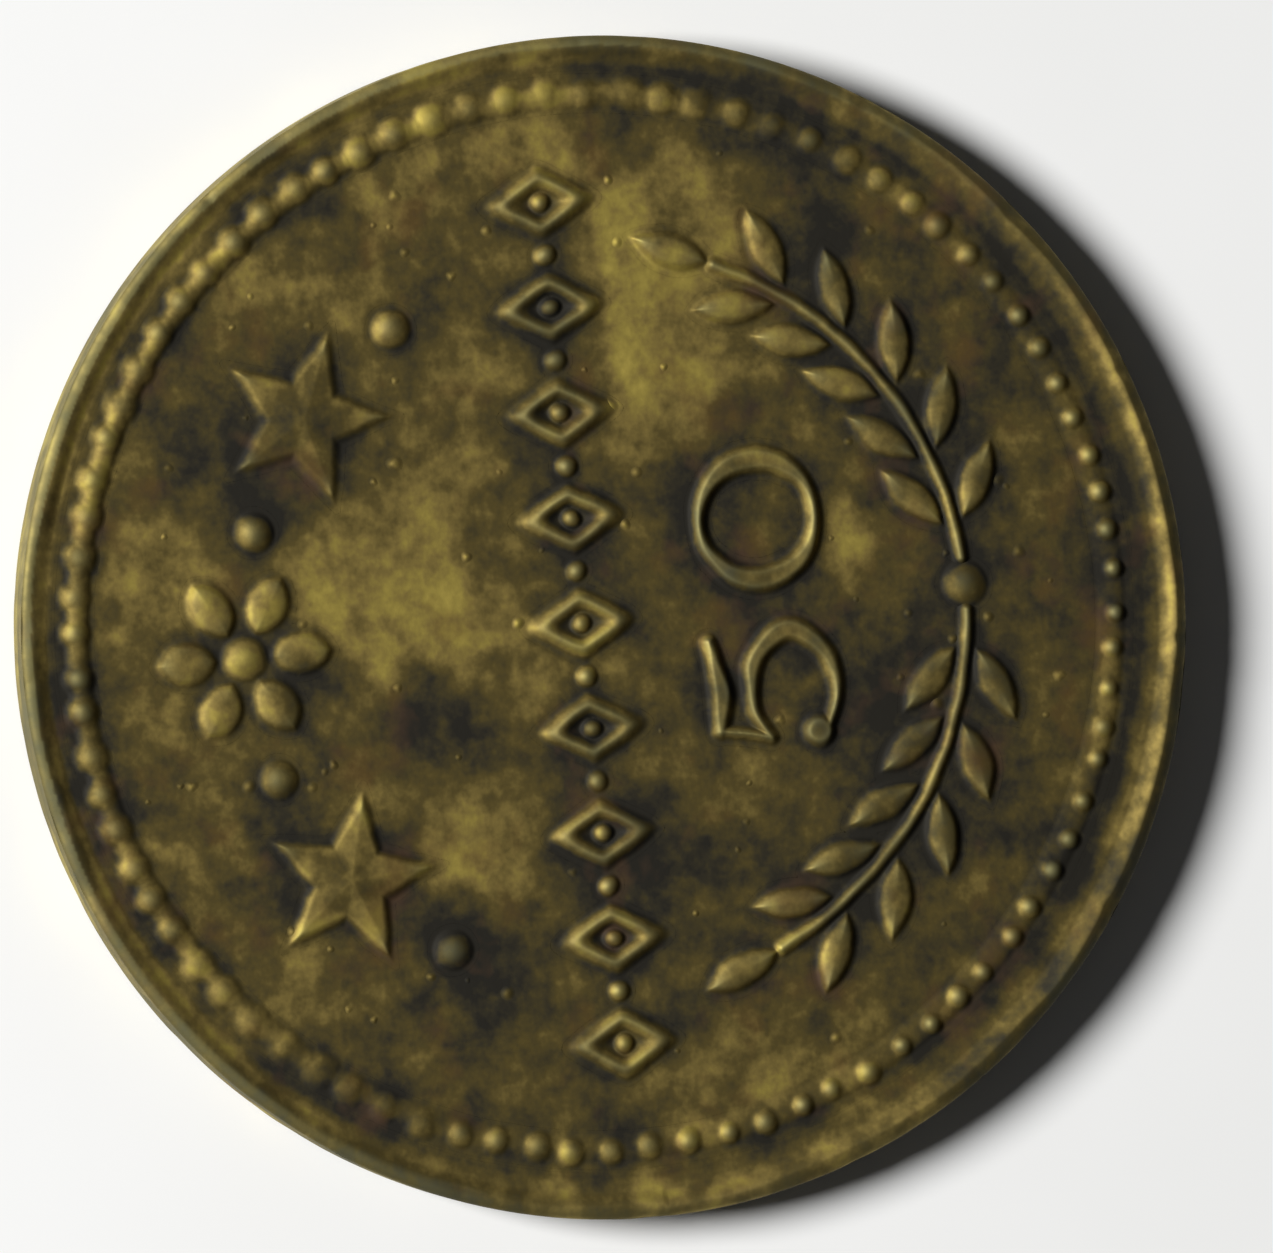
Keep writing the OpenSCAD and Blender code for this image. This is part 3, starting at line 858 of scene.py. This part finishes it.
# Arcs along the rim, partly tarnish and partly painted light: painted shade beside the beads and on the rim's
# side away from the lamp, painted highlight on lit parts of the rim.
DIE_ARCS_FILM_AND_PAINTED_LIGHT = [(-57, 20, 11.72, 0.2, 0.28), (-95, 50, 11.15, 0.16, 0.34), (-120, 24, 11.52, 0.2, -0.4),
            (-150, 16, 11.8, 0.15, 0.2), (-150, 16, 11.22, 0.13, -0.18), (-165, 28, 10.71, 0.2, 0.16),
            (-150, 40, 11.0, 0.13, 0.25), (150, 22, 11.38, 0.25, -0.17), (40, 60, 11.34, 0.15, -0.15)]
TOKEN_ARCS_FILM_AND_PAINTED_LIGHT = [(90, 62, 11.87, 0.14, 0.36), (95, 70, 11.57, 0.13, -0.3)]
LAND_W = 0.25
CORNER_W, CORNER_DROP = 0.2, 1.2
NEAR_BLUR, NEAR_DEEP, NEAR_LEAST = 0.16, 0.045, -0.3
FAR_BLUR, FAR_DEEP, FAR_LEAST = 0.55, 0.06, -0.5
FILM_PLAIN, FILM_LEAST = 0.5, 0.16
HOLLOW_FILM, HOLLOW_UNEVEN, HOLLOW_L, DIP_FILM = 0.33, 0.2, 1.3, 0.18
CLOUD_FILM, CLOUD_L = 0.26, 2.7
WISP_FILM, WISP_L = 0.16, 1.1
BOTTOM_DARKER, BOTTOM_OVER, TOP_LIGHTER = 0.11, 6.0, 0.13
PATCH_WANDER, PATCH_WANDER_L = 0.7, 1.2
RAISED_SHEDS, RAISED_H = 0.7, 0.1
GROOVE_SIDE = math.radians(20)
GROOVE_FILM, GROOVE_BARE, GROOVE_W = 0.14, 0.06, 0.25
# Lip: painted shade that grows on the side away from the lamp.
LIP_PAINTED_SHADE, LIP_W, LIP_LIT_X, LIP_LIT_Y = 0.14, 0.2, 0.5, 0.9
# Bottom crest: painted highlight, less film where its slope catches the lamp.
CREST_PAINTED_HIGHLIGHT, CREST_IN, CREST_W = 0.42, 0.34, 0.12
RUB_GAIN, RUB_FROM, RUB_MOST = 0.5, 0.25, 0.6
EDGE_WEAR, EDGE_WEAR_IN, EDGE_WEAR_W = 0.2, 0.12, 0.16
EDGE_WEAR_UNEVEN, EDGE_WEAR_L = 0.4, 0.9
PIMPLE_RUB, PIMPLE_RUB_H = 0.35, 0.03
CORNER_IN = 0.06


def blurred(image, radius_mm):
    """Gaussian blur of a map, done on its Fourier transform."""
    f = np.fft.fftfreq(len(image), MAP_CELL)
    weight = np.exp(-2 * (math.pi * radius_mm) ** 2 * (f[:, None] ** 2 + f ** 2))
    return np.fft.ifft2(np.fft.fft2(image) * weight).real


def bell(distance, width):
    """Bell curve of a distance: 1 in the middle and the inverse of e at the width."""
    return np.exp(-(distance / width) ** 2)


def face_height(x, y, bead_seed, layers):
    """Height of one face over its field: the highest of its rim, beads and ornaments, with a rounded edge."""
    die_x, die_y = x - DIE_X, y - DIE_Y
    climb = (np.hypot(die_x, die_y) - RIM_FOOT_R) / (TOKEN_R - LAND_W - RIM_FOOT_R)
    height = np.maximum(RIM_H * np.clip(climb, 0, 1), bead_relief(die_x, die_y, bead_seed))
    for (x0, x1, y0, y1), shape in layers:
        part = (die_x > x0) & (die_x < x1) & (die_y > y0) & (die_y < y1)
        height[part] = np.maximum(height[part], shape(die_x[part], die_y[part])[0])
    past = np.hypot(x, y) - TOKEN_R + CORNER_W
    return np.where(past > 0, RIM_H - CORNER_DROP * past ** 2, height)


def rim_film_and_painted_light(angle, r, die_r, film_and_light_arcs):
    """Film along the rim, partly tarnish and partly painted light: film in the groove of one side, painted
    shade on the lip on the side away from the lamp, and a painted highlight where there is less film on the
    bottom crest.

    Arcs about the die's middle and the token's are a bell round a direction times a bell round a radius; they
    add film, painted shade and painted highlight."""
    film_and_painted_light = (GROOVE_FILM * towards(angle, GROOVE_SIDE) - GROOVE_BARE) * bell(die_r - RIM_FOOT_R, GROOVE_W)
    # Painted shade: film on the lip grows on the side away from the lamp and thins on the side towards it.
    shade_side_share = 1 - LIP_LIT_X * np.cos(angle) - LIP_LIT_Y * np.sin(angle)
    film_and_painted_light += LIP_PAINTED_SHADE * shade_side_share * np.clip((die_r - RIM_FOOT_R) / LIP_W, 0, 1)
    # Painted highlight: less film on the crest towards the bottom of the design, where its inner slope faces
    # the lamp.
    film_and_painted_light -= CREST_PAINTED_HIGHLIGHT * towards(angle, BOTTOM_SIDE) ** 8 * bell(r - TOKEN_R + CREST_IN, CREST_W)
    # Arcs: film, painted shade and painted highlight along the rim.
    for from_middle, group in zip((die_r, r), film_and_light_arcs):
        for at_degrees, spread, at_r, width, depth in group:
            off = (np.degrees(angle) - at_degrees + 180) % 360 - 180
            film_and_painted_light += depth * bell(off, spread) * bell(from_middle - at_r, width)
    return film_and_painted_light


def face_maps(field_seed, bead_seed, layers, patches, film_and_light_arcs):
    """Film and rub of one face on a square map.

    Film grows where the height lies below its blur, near by and further off, and in noise and round patches
    drawn out of shape by noise; dark patches stay thin on raised places. It is darker towards the bottom of
    the design and lighter towards its top, and along the rim it carries painted shade and painted highlight.
    Rub grows where the height lies above its blur, and round the edge; the pale colour it brings is partly a
    painted highlight."""
    at = np.arange(-MAP_HALF, MAP_HALF, MAP_CELL)
    x, y = np.meshgrid(at, at, indexing="ij")

    def noise(length, k):
        return lattice_noise(x, y, length, field_seed + k)

    height = face_height(x, y, bead_seed, layers)
    near = (blurred(height, NEAR_BLUR) - height) / NEAR_DEEP
    far = (blurred(height, FAR_BLUR) - height) / FAR_DEEP
    film_and_painted_light = FILM_PLAIN + (HOLLOW_FILM + HOLLOW_UNEVEN * noise(HOLLOW_L, 36)) * np.clip(near, NEAR_LEAST, 1)
    film_and_painted_light += DIP_FILM * np.clip(far, FAR_LEAST, 1)
    film_and_painted_light += CLOUD_FILM * noise(CLOUD_L, 31) + WISP_FILM * noise(WISP_L, 32)
    # Darker towards the bottom of the design and lighter towards its top.
    film_and_painted_light += BOTTOM_DARKER * np.clip(-y / BOTTOM_OVER, 0, 1) - TOP_LIGHTER * np.clip(y / TOKEN_R, 0, 1) ** 2
    warp_x = x + PATCH_WANDER * noise(PATCH_WANDER_L, 33)
    warp_y = y + PATCH_WANDER * noise(PATCH_WANDER_L, 34)
    spared = 1 - RAISED_SHEDS * np.clip(height / RAISED_H, 0, 1)
    for weight, group in zip((-1, spared), patches):
        for patch_x, patch_y, radius, depth in group:
            film_and_painted_light += weight * depth * bell(np.hypot(warp_x - patch_x, warp_y - patch_y), radius)
    r = np.hypot(x, y)
    # Along the rim: film in the groove, painted shade on the lip away from the lamp, a painted highlight on
    # the bottom crest, and arcs of film, painted shade and painted highlight.
    film_and_painted_light += rim_film_and_painted_light(np.arctan2(y, x), r, np.hypot(x - DIE_X, y - DIE_Y), film_and_light_arcs)
    uneven = 1 - EDGE_WEAR_UNEVEN + EDGE_WEAR_UNEVEN * noise(EDGE_WEAR_L, 35)
    # Rub: worn high places and edge; the pale colour it brings is partly a painted highlight.
    rub_and_highlight = np.clip(-RUB_GAIN * near - RUB_FROM, 0, RUB_MOST)
    rub_and_highlight += EDGE_WEAR * uneven * bell(r - TOKEN_R + EDGE_WEAR_IN, EDGE_WEAR_W)
    return np.clip(film_and_painted_light, FILM_LEAST, 1), np.clip(rub_and_highlight, 0, 1)


def sampled(image, x, y):
    """Map value at points, blended between the four nearest cells; the edge takes that of its corner."""
    draw_in = np.minimum(1, (TOKEN_R - CORNER_IN) / np.maximum(np.hypot(x, y), 1))
    u, v = (x * draw_in + MAP_HALF) / MAP_CELL, (y * draw_in + MAP_HALF) / MAP_CELL
    i, j = np.floor(u).astype(int), np.floor(v).astype(int)
    s, t = u - i, v - j
    near = image[i, j] * (1 - s) + image[i + 1, j] * s
    far = image[i, j + 1] * (1 - s) + image[i + 1, j + 1] * s
    return near * (1 - t) + far * t


obverse_maps = face_maps(OBVERSE_SEED, OBVERSE_BEAD_SEED, obverse_relief, (CLEAN_PATCHES, DARK_PATCHES),
                         (DIE_ARCS_FILM_AND_PAINTED_LIGHT, TOKEN_ARCS_FILM_AND_PAINTED_LIGHT))
reverse_maps = face_maps(REVERSE_SEED, REVERSE_BEAD_SEED, [], ([], []), ([], []))
for piece in token_pieces:
    point = np.empty(3 * len(piece.data.vertices), np.float32)
    piece.data.vertices.foreach_get("co", point)
    x, y, z = point.reshape(-1, 3).T.astype(float) / MM
    upper = z > (OBVERSE_Z + REVERSE_Z) / 2
    for name, obverse, reverse in zip(("film_and_painted_light", "rub_and_highlight"), obverse_maps, reverse_maps):
        value = np.where(upper, sampled(obverse, x, y), sampled(reverse, x, y))
        if piece.name == "die_rust_pimples" and name == "film_and_painted_light":
            value -= PIMPLE_RUB * np.clip((z - OBVERSE_Z) / PIMPLE_RUB_H, 0, 1)
        kept = piece.data.attributes.new(name, "FLOAT", "POINT")
        kept.data.foreach_set("value", value.astype(np.float32))


# Camera and light: the camera looks down on the token, tilted a little towards its top edge.
# A lamp to the upper left throws a soft shadow to the right, and a dim room fills it.

FRAME_W = 25.79
SENSOR_W = 36.0
CAMERA_AWAY = 250.0
CAMERA_TILT = math.radians(10.5)
TILT_TO = (0.102, 0.995, 0.0)
AIM_Z, AIM_RIGHT, AIM_UP = 1.4, 0.55, 0.02
CLIP_START = 10.0
LAMP_AWAY = 500.0
LAMP_W = 185.0
LAMP_HIGH = math.radians(38.5)
LAMP_FROM = math.radians(76.0)
LAMP_POWER = 3.95
ROOM_GREY = "#303030"


def set_up(data, right, up, back, place):
    """Object for a camera or lamp at a place in mm, with its own three axes along these directions."""
    matrix = np.eye(4)
    matrix[:3] = np.stack([right, up, back, place * MM], -1)
    thing = bpy.data.objects.new(data.name, data)
    thing.matrix_world = Matrix(matrix.tolist())
    bpy.context.scene.collection.objects.link(thing)
    return thing


out = np.array([0.0, 0.0, 1.0])
lean = np.array(TILT_TO) / np.linalg.norm(TILT_TO)
back = out * math.cos(CAMERA_TILT) + lean * math.sin(CAMERA_TILT)
right = out * math.sin(CAMERA_TILT) - lean * math.cos(CAMERA_TILT)
up = np.cross(back, right)
lens = bpy.data.cameras.new("overhead_camera")
lens.sensor_fit = "HORIZONTAL"
lens.sensor_width = SENSOR_W
lens.lens = SENSOR_W * CAMERA_AWAY / FRAME_W
lens.clip_start = CLIP_START * MM
aim = AIM_Z * out + AIM_RIGHT * right + AIM_UP * up
bpy.context.scene.camera = set_up(lens, right, up, back, aim + CAMERA_AWAY * back)

glow = bpy.data.lights.new("window_lamp", "AREA")
glow.shape = "DISK"
glow.size = LAMP_W * MM
glow.energy = LAMP_POWER
flat = np.array([math.cos(LAMP_FROM), math.sin(LAMP_FROM), 0.0])
to_lamp = flat * math.cos(LAMP_HIGH) + out * math.sin(LAMP_HIGH)
across = np.cross(out, flat)
set_up(glow, across, np.cross(to_lamp, across), to_lamp, LAMP_AWAY * to_lamp)

world = bpy.data.worlds.new("dim_room")
world.use_nodes = True
world.node_tree.nodes["Background"].inputs["Color"].default_value = linear(ROOM_GREY)
bpy.context.scene.world = world
bpy.context.scene.view_settings.view_transform = "Standard"
